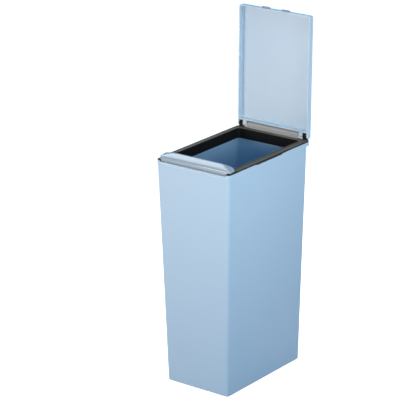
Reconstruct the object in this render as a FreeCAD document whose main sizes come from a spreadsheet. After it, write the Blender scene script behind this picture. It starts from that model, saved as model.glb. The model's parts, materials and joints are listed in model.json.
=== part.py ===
import FreeCAD, Part
import math
import os
import re

import Sketcher
from FreeCAD import Placement, Rotation, Vector

# Touch-top waste bin, standing on z = 0 with its front towards -Y.
# The lid stands open; its pieces are drawn shut, about the hinge axis, and turned by their placement.

doc = FreeCAD.newDocument("touch_top_bin")
sheet = doc.addObject("Spreadsheet::Sheet", "Sizes")

# Driving dimensions in millimetres and degrees
sizes = [
    ("body_width", "205", "body across the rim, below the band"),
    ("body_depth", "304", "body front to back at the rim, below the band"),
    ("body_height", "540", "rim above the floor"),
    ("side_draft", "14.5", "how far each side leans in at the floor"),
    ("end_draft", "10", "how far the front and the back lean in at the floor"),
    ("body_corner", "9", "radius of the upright corners"),
    ("body_wall", "2.2", "wall of the body"),
    ("floor_top", "6", "upper face of the floor"),
    ("floor_round", "4", "rounding of the bottom edge"),
    ("foot_width", "20", "width of the ring the body stands on"),
    ("foot_recess", "2.2", "hollow inside that ring"),
    ("pad_radius", "6", "non-slip pad"),
    ("pad_inset", "11", "pad centre from the body's sides"),
    ("pad_seat", "1.2", "how deep a pad sits in the ring"),
    ("pad_proud", "0.8", "how far a pad stands out below the ring"),
    ("pad_island", "4", "ground left round the middle pad in that hollow"),
    ("rim_band", "8.5", "height of the band round the rim"),
    ("rim_proud", "0.8", "how far the band stands out"),
    ("rim_round", "0.5", "rounding of the rim's outer edge"),
    ("front_drop", "3", "how far the front rim is lowered under the touch bar"),
    ("rear_lip", "9", "how far the band stands out at the back"),
    ("grip_length", "101", "finger notch in each side of the rim"),
    ("grip_depth", "2", "depth of that notch"),
    ("collar_inset", "0.5", "collar edge inside the band's edge"),
    ("collar_plate", "3.2", "thickness of the collar on the rim"),
    ("collar_wall", "2.2", "walls of the collar"),
    ("collar_round", "1", "rounding of the collar's top edge"),
    ("collar_rim", "16", "collar from its side edge to the mouth"),
    ("collar_bead", "0.8", "bead round the mouth"),
    ("collar_play", "0.5", "play between the collar and the body"),
    ("front_deck", "36.3", "collar from its front edge to the mouth"),
    ("back_deck", "21.5", "collar from its back edge to the mouth"),
    ("mouth_corner", "8", "radius of the mouth's corners"),
    ("skirt_drop", "20", "bag skirt below the rim"),
    ("locator_drop", "10", "locating wall below the rim"),
    ("hinge_back", "8", "lid hinge behind the body's back"),
    ("hinge_lift", "11.5", "lid hinge above the rim"),
    ("pin_radius", "2", "hinge and rocker pins"),
    ("running_fit", "0.05", "radial clearance of a pin that something turns on"),
    ("lug_radius", "6.5", "hinge lugs of the collar"),
    ("lug_width", "10", "width of a hinge lug"),
    ("ear_radius", "7", "hinge ears of the lid"),
    ("ear_width", "10", "width of an inner ear"),
    ("hinge_gap", "1", "side gap between lug and ear"),
    ("rib_width", "8", "inner carrier of a hinge pin"),
    ("pin_length", "47.75", "hinge pin"),
    ("cover_radius", "6.8", "hinge cover"),
    ("cover_wall", "1.8", "wall of the hinge cover"),
    ("cover_gap", "2", "hinge cover to the lid's inner ear"),
    ("cover_play", "0.2", "hinge cover to what it covers"),
    ("boss_width", "10", "screw boss under the hinge cover"),
    ("screw_place", "30", "cover screws from the middle"),
    ("screw_radius", "1.1", "shank of a cover screw"),
    ("screw_length", "9", "shank of a cover screw below its head"),
    ("head_radius", "2.4", "head of a cover screw"),
    ("head_height", "1.2", "head of a cover screw"),
    ("head_sink", "0.9", "screw head's seat below the top of the cover"),
    ("screw_play", "0.15", "room round a screw"),
    ("lid_inset", "3.5", "lid's sides inside the body's sides"),
    ("lid_depth", "17", "height of the lid's walls"),
    ("lid_wall", "2.4", "wall of the lid"),
    ("lid_gap", "0.8", "shut lid above the collar"),
    ("lid_corner", "4", "radius of the lid's upright corners"),
    ("lid_round", "3.5", "rounding of the lid's top edge"),
    ("lid_back", "8.5", "hinge axis to the lid's back wall"),
    ("lid_open_angle", "91.5", "how far the lid stands open"),
    ("stop_width", "6", "stop tab on the lid's back wall"),
    ("stop_height", "7", "stop tab on the lid's back wall"),
    ("stop_gap", "0.6", "stop tab to the hinge cover"),
    ("catch_place", "27.5", "middle of a catch from the middle of the lid"),
    ("catch_width", "21", "catch across"),
    ("catch_reach", "3.4", "how far a catch stands out of the front wall"),
    ("catch_height", "5", "catch top to bottom"),
    ("catch_top", "13.4", "top of a catch above the rim, lid shut"),
    ("catch_lead", "2", "slope under the catch"),
    ("peg_width", "15", "catch where it passes through the wall"),
    ("peg_height", "3", "catch where it passes through the wall"),
    ("peg_play", "0.2", "room round that"),
    ("peg_head", "1.5", "thickness of its head inside the lid"),
    ("peg_lip", "0.8", "overhang of that head"),
    ("bar_inset", "2", "bar's ends inside the body's sides"),
    ("bar_depth", "23.4", "touch bar front to back"),
    ("bar_setback", "3.6", "front of the bar behind the body's front"),
    ("bar_corner", "9", "radius of the bar's front corners, seen from above"),
    ("bar_heel", "5", "radius of the bar's rear corners, seen from above"),
    ("bar_skirt", "5", "front skirt of the bar below the rim"),
    ("skirt_room", "2.4", "room under that skirt in the collar"),
    ("bar_base", "4.4", "underside of the bar above the rim"),
    ("bar_ridge", "8", "top of the bar above the rim, at the front"),
    ("bar_rise", "17.6", "top of the bar above the rim, at the back"),
    ("bar_wall", "2", "wall of the bar"),
    ("bar_round", "2.7", "rounding of the bar's top edge"),
    ("bar_cheek", "9.5", "solid end of the bar"),
    ("lip_gap", "1.6", "bar's back edge to the shut lid"),
    ("lip_depth", "6.4", "overhang of the lip that holds the catches"),
    ("lip_thick", "2.2", "thickness of that lip"),
    ("catch_room", "6", "room beside a catch under that lip"),
    ("seat_depth", "2", "how far the collar is lowered under the bar"),
    ("seat_gap", "1.1", "room round the bar in its seat"),
    ("trough_drop", "21", "floor of the trough under the bar, below the rim"),
    ("pivot_setback", "5.3", "rocker axis to the trough's back wall"),
    ("pivot_drop", "15", "rocker axis below the rim"),
    ("leg_inset", "37.5", "middle of a rocker leg from the bar's end"),
    ("leg_thick", "6", "rocker leg"),
    ("leg_radius", "4.5", "rocker leg round its pin"),
    ("leg_gap", "0.4", "side gap between leg and carrier"),
    ("carrier_thick", "4", "carrier of a rocker pin"),
    ("carrier_reach", "5", "carrier round its pin"),
    ("strip_thick", "2", "plate of the rocker"),
    ("strip_play", "0.15", "rocker plate to the bar"),
    ("spring_place", "30", "bar springs from the middle"),
    ("spring_radius", "3.6", "bar spring, middle of the wire"),
    ("spring_turns", "8", "turns of a bar spring"),
    ("seat_radius", "5", "spring seat under the rocker"),
    ("seat_level", "6", "that seat above the rim"),
    ("post_radius", "2.2", "posts that keep a bar spring in place"),
    ("post_height", "4", "posts that keep a bar spring in place"),
    ("wire_radius", "0.5", "wire of all springs"),
    ("coil_radius", "3.4", "lid spring, middle of the wire"),
    ("coil_turns", "6", "turns of a lid spring"),
    ("coil_pitch", "1.6", "lid spring from turn to turn"),
    ("coil_bend", "1", "bend into the lid spring's end"),
    ("coil_leg", "4", "straight ends of a lid spring"),
    ("coil_play", "0.4", "room round the lid spring's end"),
]
aliases = [alias for alias, text, note in sizes]
for row, (alias, text, note) in enumerate(sizes, start=1):
    sheet.set(f"A{row}", note)
    sheet.set(f"B{row}", text)
    sheet.setAlias(f"B{row}", alias)
doc.recompute()


def with_names(expression, naming):
    """Put the naming of each cell in its place in an expression of cell names."""
    def named(word):
        return naming(word.group()) if word.group() in aliases else word.group()
    return re.sub(r"[a-z][a-z_]*", named, expression)


def bind(item, path, expression):
    """Bind one property of a document object to the sheet."""
    item.setExpression(path, with_names(expression, lambda alias: f"Sizes.{alias}"))


def worked_out(expression):
    """The number that an expression of cell names comes to."""
    return FreeCAD.Units.Quantity(with_names(expression, lambda alias: str(float(sheet.get(alias))))).Value


# Sketches

def origin_plane(body, role):
    return next(item for item in body.Origin.OriginFeatures if item.Role == role)


def new_body(label):
    body = doc.addObject("PartDesign::Body", label)
    body.Label = label
    return body


def sketch_on(body, name, plane, offset="0"):
    """A sketch on one of the body's own planes, moved along the plane's normal."""
    sketch = body.newObject("Sketcher::SketchObject", f"{body.Name}_{name}")
    sketch.AttachmentSupport = [(origin_plane(body, plane), "")]
    sketch.MapMode = "FlatFace"
    bind(sketch, "AttachmentOffset.Base.z", offset)
    return sketch


def dimension(sketch, kind, geometry, point, expression):
    """Hold a point's distance from the sketch's origin along one axis."""
    if expression == "0":
        axis = -2 if kind == "DistanceX" else -1
        sketch.addConstraint(Sketcher.Constraint("PointOnObject", geometry, point, axis))
        return
    held = Sketcher.Constraint(kind, -1, 1, geometry, point, worked_out(expression))
    bind(sketch, f"Constraints[{sketch.addConstraint(held)}]", expression)


def radius_of(sketch, geometry, expression):
    held = Sketcher.Constraint("Radius", geometry, worked_out(expression))
    bind(sketch, f"Constraints[{sketch.addConstraint(held)}]", expression)


def chain(sketch, points):
    """Straight lines from point to point, each point held; returns the first and the last line."""
    places = [Vector(worked_out(across), worked_out(up), 0) for across, up in points]
    lines = [sketch.addGeometry(Part.LineSegment(*ends)) for ends in zip(places, places[1:])]
    for before, after in zip(lines, lines[1:]):
        sketch.addConstraint(Sketcher.Constraint("Coincident", before, 2, after, 1))
    held = [(line, 1) for line in lines] + [(lines[-1], 2)]
    for (line, end), (across, up) in zip(held, points):
        dimension(sketch, "DistanceX", line, end, across)
        dimension(sketch, "DistanceY", line, end, up)
    return lines[0], lines[-1]


def polygon(sketch, points):
    first, last = chain(sketch, points)
    ends = sketch.Geometry[last].EndPoint, sketch.Geometry[first].StartPoint
    closing = sketch.addGeometry(Part.LineSegment(*ends))
    sketch.addConstraint(Sketcher.Constraint("Coincident", last, 2, closing, 1))
    sketch.addConstraint(Sketcher.Constraint("Coincident", closing, 2, first, 1))


def rounded_chain(sketch, points, across, up, radius, turn):
    """A chain whose two ends are joined by half a turn about a centre; turn is where the half turn starts."""
    first, last = chain(sketch, points)
    circle = Part.Circle(Vector(worked_out(across), worked_out(up), 0), Vector(0, 0, 1), worked_out(radius))
    arc = sketch.addGeometry(Part.ArcOfCircle(circle, math.radians(turn), math.radians(turn + 180)))
    sketch.addConstraint(Sketcher.Constraint("Coincident", last, 2, arc, 1))
    sketch.addConstraint(Sketcher.Constraint("Coincident", arc, 2, first, 1))
    if turn % 180 == 0:
        dimension(sketch, "DistanceY", arc, 3, up)
    else:
        dimension(sketch, "DistanceX", arc, 3, across)


def arch(sketch, across, up, radius, foot, back_foot):
    """An upright arch about a centre, standing on a foot level; back_foot is its rear bottom corner."""
    left = f"{across} - {radius}"
    points = [(left, up), (left, foot), (back_foot, foot), (f"{across} + {radius}", up)]
    rounded_chain(sketch, points, across, up, radius, 0)


def circle(sketch, across, up, radius):
    centre = Vector(worked_out(across), worked_out(up), 0)
    ring = sketch.addGeometry(Part.Circle(centre, Vector(0, 0, 1), worked_out(radius)))
    dimension(sketch, "DistanceX", ring, 3, across)
    dimension(sketch, "DistanceY", ring, 3, up)
    radius_of(sketch, ring, radius)


def rounded_rectangle(sketch, left, right, low, high, radius):
    """A rectangle with four equal round corners between four held sides."""
    x_low, x_high, y_low, y_high, r = (worked_out(side) for side in (left, right, low, high, radius))
    corners = [(x_high - r, y_low + r), (x_high - r, y_high - r),
               (x_low + r, y_high - r), (x_low + r, y_low + r)]
    arcs = []
    for number, (x, y) in enumerate(corners):
        start = math.radians(90 * number - 90)
        ring = Part.Circle(Vector(x, y, 0), Vector(0, 0, 1), r)
        arcs.append(sketch.addGeometry(Part.ArcOfCircle(ring, start, start + math.pi / 2)))
    sides = [("Vertical", "DistanceX", right), ("Horizontal", "DistanceY", high),
             ("Vertical", "DistanceX", left), ("Horizontal", "DistanceY", low)]
    for number, (way, kind, place) in enumerate(sides):
        before, after = arcs[number], arcs[(number + 1) % 4]
        ends = sketch.Geometry[before].EndPoint, sketch.Geometry[after].StartPoint
        side = sketch.addGeometry(Part.LineSegment(*ends))
        sketch.addConstraint(Sketcher.Constraint("Tangent", before, 2, side, 1))
        sketch.addConstraint(Sketcher.Constraint("Tangent", side, 2, after, 1))
        sketch.addConstraint(Sketcher.Constraint(way, side))
        dimension(sketch, kind, side, 1, place)
    for arc in arcs[1:]:
        sketch.addConstraint(Sketcher.Constraint("Equal", arcs[0], arc))
    radius_of(sketch, arcs[0], radius)


# Features

def extruded(body, kind, sketch, length, symmetric=False, reverse=False):
    feature = body.newObject(f"PartDesign::{kind}", f"{sketch.Name}_{kind.lower()}")
    feature.Profile = sketch
    feature.SideType = "Symmetric" if symmetric else "One side"
    feature.Reversed = reverse
    bind(feature, "Length", length)
    return feature


def pad(body, sketch, length, **ways):
    return extruded(body, "Pad", sketch, length, **ways)


def pocket(body, sketch, length, **ways):
    return extruded(body, "Pocket", sketch, length, **ways)


def loft(body, kind, first, last):
    feature = body.newObject(f"PartDesign::{kind}", f"{first.Name}_loft")
    feature.Profile = first
    feature.Sections = [last]
    feature.Ruled = True
    return feature


def fillet(body, base, radius, wanted):
    """Round the edges of a feature whose every point is wanted."""
    doc.recompute()
    names = []
    for number, edge in enumerate(base.Shape.Edges, start=1):
        if all(wanted(point) for point in edge.discretize(5)):
            names.append(f"Edge{number}")
    feature = body.newObject("PartDesign::Fillet", f"{base.Name}_round")
    feature.Base = (base, names)
    bind(feature, "Radius", radius)
    return feature


def mirror(body, features):
    """Repeat features on the other side of the middle plane."""
    doc.recompute()
    feature = body.newObject("PartDesign::Mirrored", f"{body.Name}_mirror")
    feature.Originals = features
    feature.MirrorPlane = (origin_plane(body, "YZ_Plane"), [""])
    body.Tip = feature
    return feature


def rod_along(axis, name, radius, start, length, place):
    """A cylinder along X or Z from start; place holds its other two coordinates as expressions."""
    rod = doc.addObject("Part::Cylinder", name)
    bind(rod, "Radius", radius)
    bind(rod, "Height", length)
    if axis == "x":
        rod.Placement = Placement(Vector(), Rotation(Vector(0, 1, 0), 90))
    for letter, expression in place.items():
        bind(rod, f"Placement.Base.{letter}", expression)
    bind(rod, f"Placement.Base.{axis}", start)
    return rod


def on_both_sides(function):
    """Make a sub-part once for each side; the function takes the side's name and its sign."""
    return [function(side, sign) for side, sign in (("left", "-1"), ("right", "1"))]


# Places that several pieces share

def half_width_at(level):
    return f"(body_width / 2 - side_draft * (body_height - ({level})) / body_height)"


def half_depth_at(level):
    return f"(body_depth / 2 - end_draft * (body_height - ({level})) / body_height)"


rim = "body_height"
collar_top = "(body_height + collar_plate)"
collar_side = "(body_width / 2 + rim_proud - collar_inset)"
collar_front = "-(body_depth / 2 + rim_proud - collar_inset)"
collar_back = "(body_depth / 2 + rear_lip - collar_inset)"
mouth_side = f"({collar_side} - collar_rim)"
mouth_front = f"({collar_front} + front_deck)"
mouth_back = f"({collar_back} - back_deck)"
hinge_y = "(body_depth / 2 + hinge_back)"
hinge_z = "(body_height + hinge_lift)"
lid_half = "(body_width / 2 - lid_inset)"
lug_inner = f"({lid_half} - lid_wall - hinge_gap - lug_width)"
ear_inner = f"({lug_inner} - hinge_gap - ear_width)"
pin_outer = f"({lid_half} - lid_wall / 2 - running_fit)"
rib_inner = f"({pin_outer} - pin_length)"
cover_end = f"({ear_inner} - cover_gap)"
cover_hollow = "(cover_radius - cover_wall)"
boss_radius = f"({cover_hollow} - cover_play)"
head_seat = f"({hinge_z} + cover_radius - head_sink)"
front_open = "(body_width / 2 - body_corner)"
bar_front = "-(body_depth / 2 - bar_setback)"
bar_back = f"({bar_front} + bar_depth)"
bar_half = "(body_width / 2 - bar_inset)"
bar_inside = f"(2 * ({bar_half} - bar_cheek))"
lid_reach = f"({hinge_y} - {bar_back} - lip_gap)"
bar_wall_back = f"({bar_back} - lip_depth)"
bar_wall_front = f"({bar_wall_back} - bar_wall)"
trough_floor = "(body_height - trough_drop)"
trough_back = f"({mouth_front} - collar_wall)"
trough_side = f"({front_open} + collar_wall / 2)"
pivot_y = f"({trough_back} - pivot_setback)"
pivot_z = "(body_height - pivot_drop)"
leg_place = f"({bar_half} - leg_inset)"
spring_y = f"({bar_wall_front} - 2 * leg_gap - seat_radius)"
seat_z = "(body_height + seat_level)"


def bar_top(place):
    """Height of the bar's sloping top at a place along Y."""
    slope = f"(bar_rise - bar_ridge) / ({bar_back} - ({bar_front}))"
    return f"(body_height + bar_ridge + ({place} - ({bar_front})) * {slope})"


# Bin body

def bin_body():
    body = new_body("bin_body")
    ring = "pad_proud"

    def wall_sketch(name, level, inset):
        wide, deep = f"({half_width_at(level)} - {inset})", f"({half_depth_at(level)} - {inset})"
        sketch = sketch_on(body, name, "XY_Plane", level)
        rounded_rectangle(sketch, f"-{wide}", wide, f"-{deep}", deep, f"body_corner - {inset}")
        return sketch

    slab_top = f"({ring} + 1.5 * floor_round)"
    slab = pad(body, wall_sketch("foot_slab", slab_top, "0"), "1.5 * floor_round", reverse=True)
    ring_level = worked_out(ring)
    fillet(body, slab, "floor_round", lambda point: abs(point.z - ring_level) < 0.01)
    loft(body, "AdditiveLoft", wall_sketch("outer_foot", slab_top, "0"), wall_sketch("outer_rim", rim, "0"))

    band_side, band_front = "(body_width / 2 + rim_proud)", "-(body_depth / 2 + rim_proud)"
    band = sketch_on(body, "band", "XY_Plane", "body_height - rim_band")
    rounded_rectangle(band, f"-{band_side}", band_side, band_front, "body_depth / 2 + rear_lip",
                      "body_corner + rim_proud")
    rim_pad = pad(body, band, "rim_band")
    top_level = worked_out(rim)
    fillet(body, rim_pad, "rim_round", lambda point: abs(point.z - top_level) < 0.01)

    loft(body, "SubtractiveLoft", wall_sketch("inner_floor", "floor_top", "body_wall"),
         wall_sketch("inner_rim", rim, "body_wall"))

    lip = sketch_on(body, "lip_hollow", "XY_Plane", "body_height - rim_band")
    lip_side = "(body_width / 2 - body_corner)"
    polygon(lip, [(f"-{lip_side}", "body_depth / 2"), (lip_side, "body_depth / 2"),
                  (lip_side, "body_depth / 2 + rear_lip - body_wall"),
                  (f"-{lip_side}", "body_depth / 2 + rear_lip - body_wall")])
    pocket(body, lip, "rim_band - body_wall", reverse=True)

    hollow_side, hollow_end = f"({half_width_at(ring)} - foot_width)", f"({half_depth_at(ring)} - foot_width)"
    hollow = sketch_on(body, "foot_hollow", "XY_Plane", ring)
    rounded_rectangle(hollow, f"-{hollow_side}", hollow_side, f"-{hollow_end}", hollow_end, "body_corner")
    circle(hollow, "0", "0", "pad_radius + pad_island")
    pocket(body, hollow, "foot_recess", reverse=True)

    seats = sketch_on(body, "pad_seats", "XY_Plane", ring)
    for across, along in pad_places():
        circle(seats, across, along, "pad_radius")
    pocket(body, seats, "pad_seat", reverse=True)

    notch = sketch_on(body, "grip_notch", "YZ_Plane")
    low, high = "body_height - grip_depth", "body_height + grip_depth"
    polygon(notch, [("-grip_length / 2", low), ("grip_length / 2", low),
                    ("grip_length / 2", high), ("-grip_length / 2", high)])
    pocket(body, notch, "body_width + 4 * rim_proud", symmetric=True)

    lowered = sketch_on(body, "front_notch", "XZ_Plane", "body_depth / 2 + 2 * rim_proud")
    low, high = "body_height - front_drop", "body_height + front_drop"
    polygon(lowered, [(f"-{front_open}", low), (front_open, low),
                      (front_open, high), (f"-{front_open}", high)])
    pocket(body, lowered, "2 * (rim_proud + body_wall)")
    return body


def pad_places():
    side, end = f"({half_width_at('0')} - pad_inset)", f"({half_depth_at('0')} - pad_inset)"
    corners = [(f"{x} * {side}", f"{y} * {end}") for x in ("-1", "1") for y in ("-1", "1")]
    return corners + [("0", "0")]


def foot_pads():
    names = ["front_left", "back_left", "front_right", "back_right", "middle"]
    tall = "pad_proud + pad_seat"
    return [rod_along("z", f"foot_pad_{name}", "pad_radius", "0", tall, {"x": across, "y": along})
            for name, (across, along) in zip(names, pad_places())]


# Collar with the mouth, the trough under the bar and the hinge lugs

def frame_collar():
    body = new_body("frame_collar")
    plate = sketch_on(body, "plate", "XY_Plane", rim)
    rounded_rectangle(plate, f"-{collar_side}", collar_side, collar_front, collar_back, "body_corner")
    slab = pad(body, plate, "collar_plate")
    top_level = worked_out(collar_top)
    fillet(body, slab, "collar_round", lambda point: abs(point.z - top_level) < 0.01)

    foot = "(body_height - locator_drop)"
    locator = sketch_on(body, "locator", "XY_Plane", foot)
    for inset in ("(body_wall + collar_play)", "(body_wall + collar_play + collar_wall)"):
        wide, deep = f"({half_width_at(foot)} - {inset})", f"({half_depth_at(foot)} - {inset})"
        rounded_rectangle(locator, f"-{wide}", wide, f"-{deep}", deep, f"body_corner - {inset}")
    pad(body, locator, "locator_drop")

    skirt = sketch_on(body, "skirt", "XY_Plane", "body_height - skirt_drop")
    skirt_side = f"({mouth_side} + collar_wall)"
    rounded_rectangle(skirt, f"-{skirt_side}", skirt_side, f"{mouth_front} - collar_wall",
                      f"{mouth_back} + collar_wall", "mouth_corner + collar_wall")
    pad(body, skirt, "skirt_drop + collar_plate + collar_bead")

    trough_under = f"({trough_floor} - collar_wall)"
    trough_front = f"-({half_depth_at(trough_under)} - body_wall - collar_play)"
    trough = sketch_on(body, "trough", "XY_Plane", trough_under)
    polygon(trough, [(f"-{trough_side}", trough_front), (trough_side, trough_front),
                     (trough_side, mouth_front), (f"-{trough_side}", mouth_front)])
    pad(body, trough, "trough_drop + collar_wall")

    mouth = sketch_on(body, "mouth", "XY_Plane", f"{collar_top} + collar_bead")
    rounded_rectangle(mouth, f"-{mouth_side}", mouth_side, mouth_front, mouth_back, "mouth_corner")
    pocket(body, mouth, "collar_plate + collar_bead + trough_drop + 2 * collar_wall")

    well_side, well_front = f"({trough_side} - collar_wall)", f"{trough_front} + collar_wall"
    well = sketch_on(body, "well", "XY_Plane", collar_top)
    polygon(well, [(f"-{well_side}", well_front), (well_side, well_front),
                   (well_side, trough_back), (f"-{well_side}", trough_back)])
    pocket(body, well, "collar_plate + trough_drop")

    seat_side, seat_back = f"({collar_side} + seat_gap)", f"{bar_back} + seat_gap"
    seat = sketch_on(body, "bar_seat", "XY_Plane", collar_top)
    polygon(seat, [(f"-{seat_side}", f"{collar_front} - seat_gap"), (seat_side, f"{collar_front} - seat_gap"),
                   (seat_side, seat_back), (f"-{seat_side}", seat_back)])
    pocket(body, seat, "seat_depth")

    skirt_back = f"{bar_front} + bar_wall + seat_gap"
    skirt_slot = sketch_on(body, "skirt_slot", "XY_Plane", collar_top)
    slot_front = f"{collar_front} - seat_gap"
    polygon(skirt_slot, [(f"-{front_open}", slot_front), (front_open, slot_front),
                         (front_open, skirt_back), (f"-{front_open}", skirt_back)])
    pocket(body, skirt_slot, "collar_plate + bar_skirt + skirt_room")

    repeated = []
    standing = [("lug", lug_inner, "lug_width", "lug_radius"),
                ("pin_rib", rib_inner, "rib_width", boss_radius),
                ("screw_boss", "(screw_place - boss_width / 2)", "boss_width", boss_radius)]
    for name, start, width, radius in standing:
        upright = sketch_on(body, name, "YZ_Plane", start)
        arch(upright, hinge_y, hinge_z, radius, rim, collar_back)
        repeated.append(pad(body, upright, width))

    carrier_inner = f"({leg_place} - leg_thick / 2 - leg_gap - carrier_thick)"
    carrier_outer = f"({leg_place} + leg_thick / 2 + leg_gap)"
    for name, start in (("carrier_inner", carrier_inner), ("carrier_outer", carrier_outer)):
        carrier = sketch_on(body, name, "YZ_Plane", start)
        front, top = f"{pivot_y} - carrier_reach", f"{pivot_z} + carrier_reach"
        under = f"{trough_floor} - collar_wall / 2"
        back = f"{trough_back} + collar_wall / 2"
        polygon(carrier, [(front, under), (back, under), (back, top), (front, top)])
        repeated.append(pad(body, carrier, "carrier_thick"))

    grip = sketch_on(body, "grip", "XY_Plane", "body_height - grip_depth + lid_gap")
    grip_half = "(grip_length / 2 - collar_play)"
    polygon(grip, [(f"{collar_side} - collar_wall", f"-{grip_half}"), (collar_side, f"-{grip_half}"),
                   (collar_side, grip_half), (f"{collar_side} - collar_wall", grip_half)])
    repeated.append(pad(body, grip, "grip_depth"))

    post = sketch_on(body, "spring_post", "XY_Plane", trough_floor)
    circle(post, "spring_place", spring_y, "post_radius")
    repeated.append(pad(body, post, "post_height"))

    hinge_bore = sketch_on(body, "hinge_bore", "YZ_Plane", f"{lug_inner} + lug_width")
    circle(hinge_bore, hinge_y, hinge_z, "pin_radius + running_fit")
    repeated.append(pocket(body, hinge_bore, f"{lug_inner} + lug_width - {rib_inner}"))

    rocker_bore = sketch_on(body, "rocker_bore", "YZ_Plane", f"{carrier_outer} + carrier_thick")
    circle(rocker_bore, pivot_y, pivot_z, "pin_radius")
    repeated.append(pocket(body, rocker_bore, "2 * (carrier_thick + leg_gap) + leg_thick"))

    screw_hole = sketch_on(body, "screw_hole", "XY_Plane", head_seat)
    circle(screw_hole, "screw_place", hinge_y, "screw_radius + screw_play")
    repeated.append(pocket(body, screw_hole, "screw_length + 2 * screw_play"))

    mirror(body, repeated)
    return body


# Hinge cover, an upturned trough over the pins' carriers, and its screws

def hinge_cover():
    body = new_body("hinge_cover")
    outside = sketch_on(body, "outside", "YZ_Plane")
    arch(outside, hinge_y, hinge_z, "cover_radius", collar_top, f"{hinge_y} + cover_radius")
    pad(body, outside, f"2 * {cover_end}", symmetric=True)
    inside = sketch_on(body, "inside", "YZ_Plane")
    arch(inside, hinge_y, hinge_z, cover_hollow, f"{collar_top} - cover_wall", f"{hinge_y} + {cover_hollow}")
    pocket(body, inside, f"3 * {cover_end}", symmetric=True)

    above = f"{hinge_z} + 2 * cover_radius"
    sinks = sketch_on(body, "sinks", "XY_Plane", above)
    holes = sketch_on(body, "holes", "XY_Plane", above)
    for sign in ("-1", "1"):
        circle(sinks, f"{sign} * screw_place", hinge_y, "head_radius + screw_play")
        circle(holes, f"{sign} * screw_place", hinge_y, "screw_radius + screw_play")
    pocket(body, sinks, "cover_radius + head_sink")
    pocket(body, holes, "2 * cover_radius")
    return body


def cover_screws():
    pieces = []
    for side, sign in (("left", "-1"), ("right", "1")):
        place = {"x": f"{sign} * screw_place", "y": hinge_y}
        shank_start = f"{head_seat} - screw_length"
        shank_length = "screw_length + head_height / 2"
        pieces.append(rod_along("z", f"screw_shank_{side}", "screw_radius", shank_start, shank_length, place))
        pieces.append(rod_along("z", f"screw_head_{side}", "head_radius", head_seat, "head_height", place))
    screws = doc.addObject("Part::MultiFuse", "cover_screws")
    screws.Shapes = pieces
    return screws


def hinge_pin(side, sign):
    start = rib_inner if sign == "1" else f"-{pin_outer}"
    place = {"y": hinge_y, "z": hinge_z}
    return rod_along("x", f"hinge_pin_{side}", "pin_radius", start, "pin_length", place)


# Lid, drawn shut with the hinge axis as its origin

lid_edge = "-(hinge_lift - collar_plate - lid_gap)"
lid_top = f"({lid_edge} + lid_depth)"
catch_level = "(catch_top - hinge_lift)"


def stand_open(item):
    item.Placement = Placement(Vector(), Rotation(Vector(1, 0, 0), -worked_out("lid_open_angle")))
    bind(item, "Placement.Base.y", hinge_y)
    bind(item, "Placement.Base.z", hinge_z)
    bind(item, "Placement.Rotation.Angle", "-lid_open_angle")


def lid():
    body = new_body("lid")
    plan = sketch_on(body, "plan", "XY_Plane", lid_edge)
    rounded_rectangle(plan, f"-{lid_half}", lid_half, f"-{lid_reach}", "-lid_back", "lid_corner")
    block = pad(body, plan, "lid_depth")
    top_level = worked_out(lid_top)
    fillet(body, block, "lid_round", lambda point: abs(point.z - top_level) < 0.01)

    inner = f"({lid_half} - lid_wall)"
    hollow = sketch_on(body, "hollow", "XY_Plane", lid_edge)
    rounded_rectangle(hollow, f"-{inner}", inner, f"-({lid_reach} - lid_wall)", "-(lid_back + lid_wall)",
                      "lid_corner - lid_wall")
    pocket(body, hollow, "lid_depth - lid_wall", reverse=True)

    tab = sketch_on(body, "stop_tab", "YZ_Plane")
    tab_back, tab_front = "-(cover_radius + stop_gap)", "-(lid_back + lid_wall / 2)"
    polygon(tab, [(tab_front, "-stop_height / 3"), (tab_back, "-stop_height / 3"),
                  (tab_back, "2 * stop_height / 3"), (tab_front, "2 * stop_height / 3")])
    pad(body, tab, "stop_width", symmetric=True)

    repeated = []
    ears = [("outer_ear", inner, "lid_wall", "(lid_back + lid_corner + lid_wall)"),
            ("inner_ear", ear_inner, "ear_width", "(lid_back + lid_wall / 2)")]
    for name, start, width, root in ears:
        ear = sketch_on(body, name, "YZ_Plane", start)
        points = [("0", "ear_radius"), (f"-{root}", f"{lid_top} - lid_round"), (f"-{root}", "-ear_radius"),
                  ("0", "-ear_radius")]
        rounded_chain(ear, points, "0", "0", "ear_radius", -90)
        repeated.append(pad(body, ear, width))

    bore = sketch_on(body, "hinge_bore", "YZ_Plane", f"{lid_half} - lid_wall / 2")
    circle(bore, "0", "0", "pin_radius + running_fit")
    repeated.append(pocket(body, bore, f"{lid_half} - lid_wall / 2 - {ear_inner}"))

    spring_hole = sketch_on(body, "spring_hole", "YZ_Plane", f"{ear_inner} + coil_leg + coil_play")
    circle(spring_hole, "coil_radius", "0", "wire_radius + coil_play")
    repeated.append(pocket(body, spring_hole, "coil_leg + coil_play"))

    window = sketch_on(body, "catch_window", "XZ_Plane", lid_reach)
    left, right = "(catch_place - peg_width / 2 - peg_play)", "(catch_place + peg_width / 2 + peg_play)"
    middle, tall = f"({catch_level} - catch_height / 2)", "(peg_height / 2 + peg_play)"
    polygon(window, [(left, f"{middle} - {tall}"), (right, f"{middle} - {tall}"),
                     (right, f"{middle} + {tall}"), (left, f"{middle} + {tall}")])
    repeated.append(pocket(body, window, "1.5 * lid_wall"))

    mirror(body, repeated)
    stand_open(body)
    return body


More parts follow.
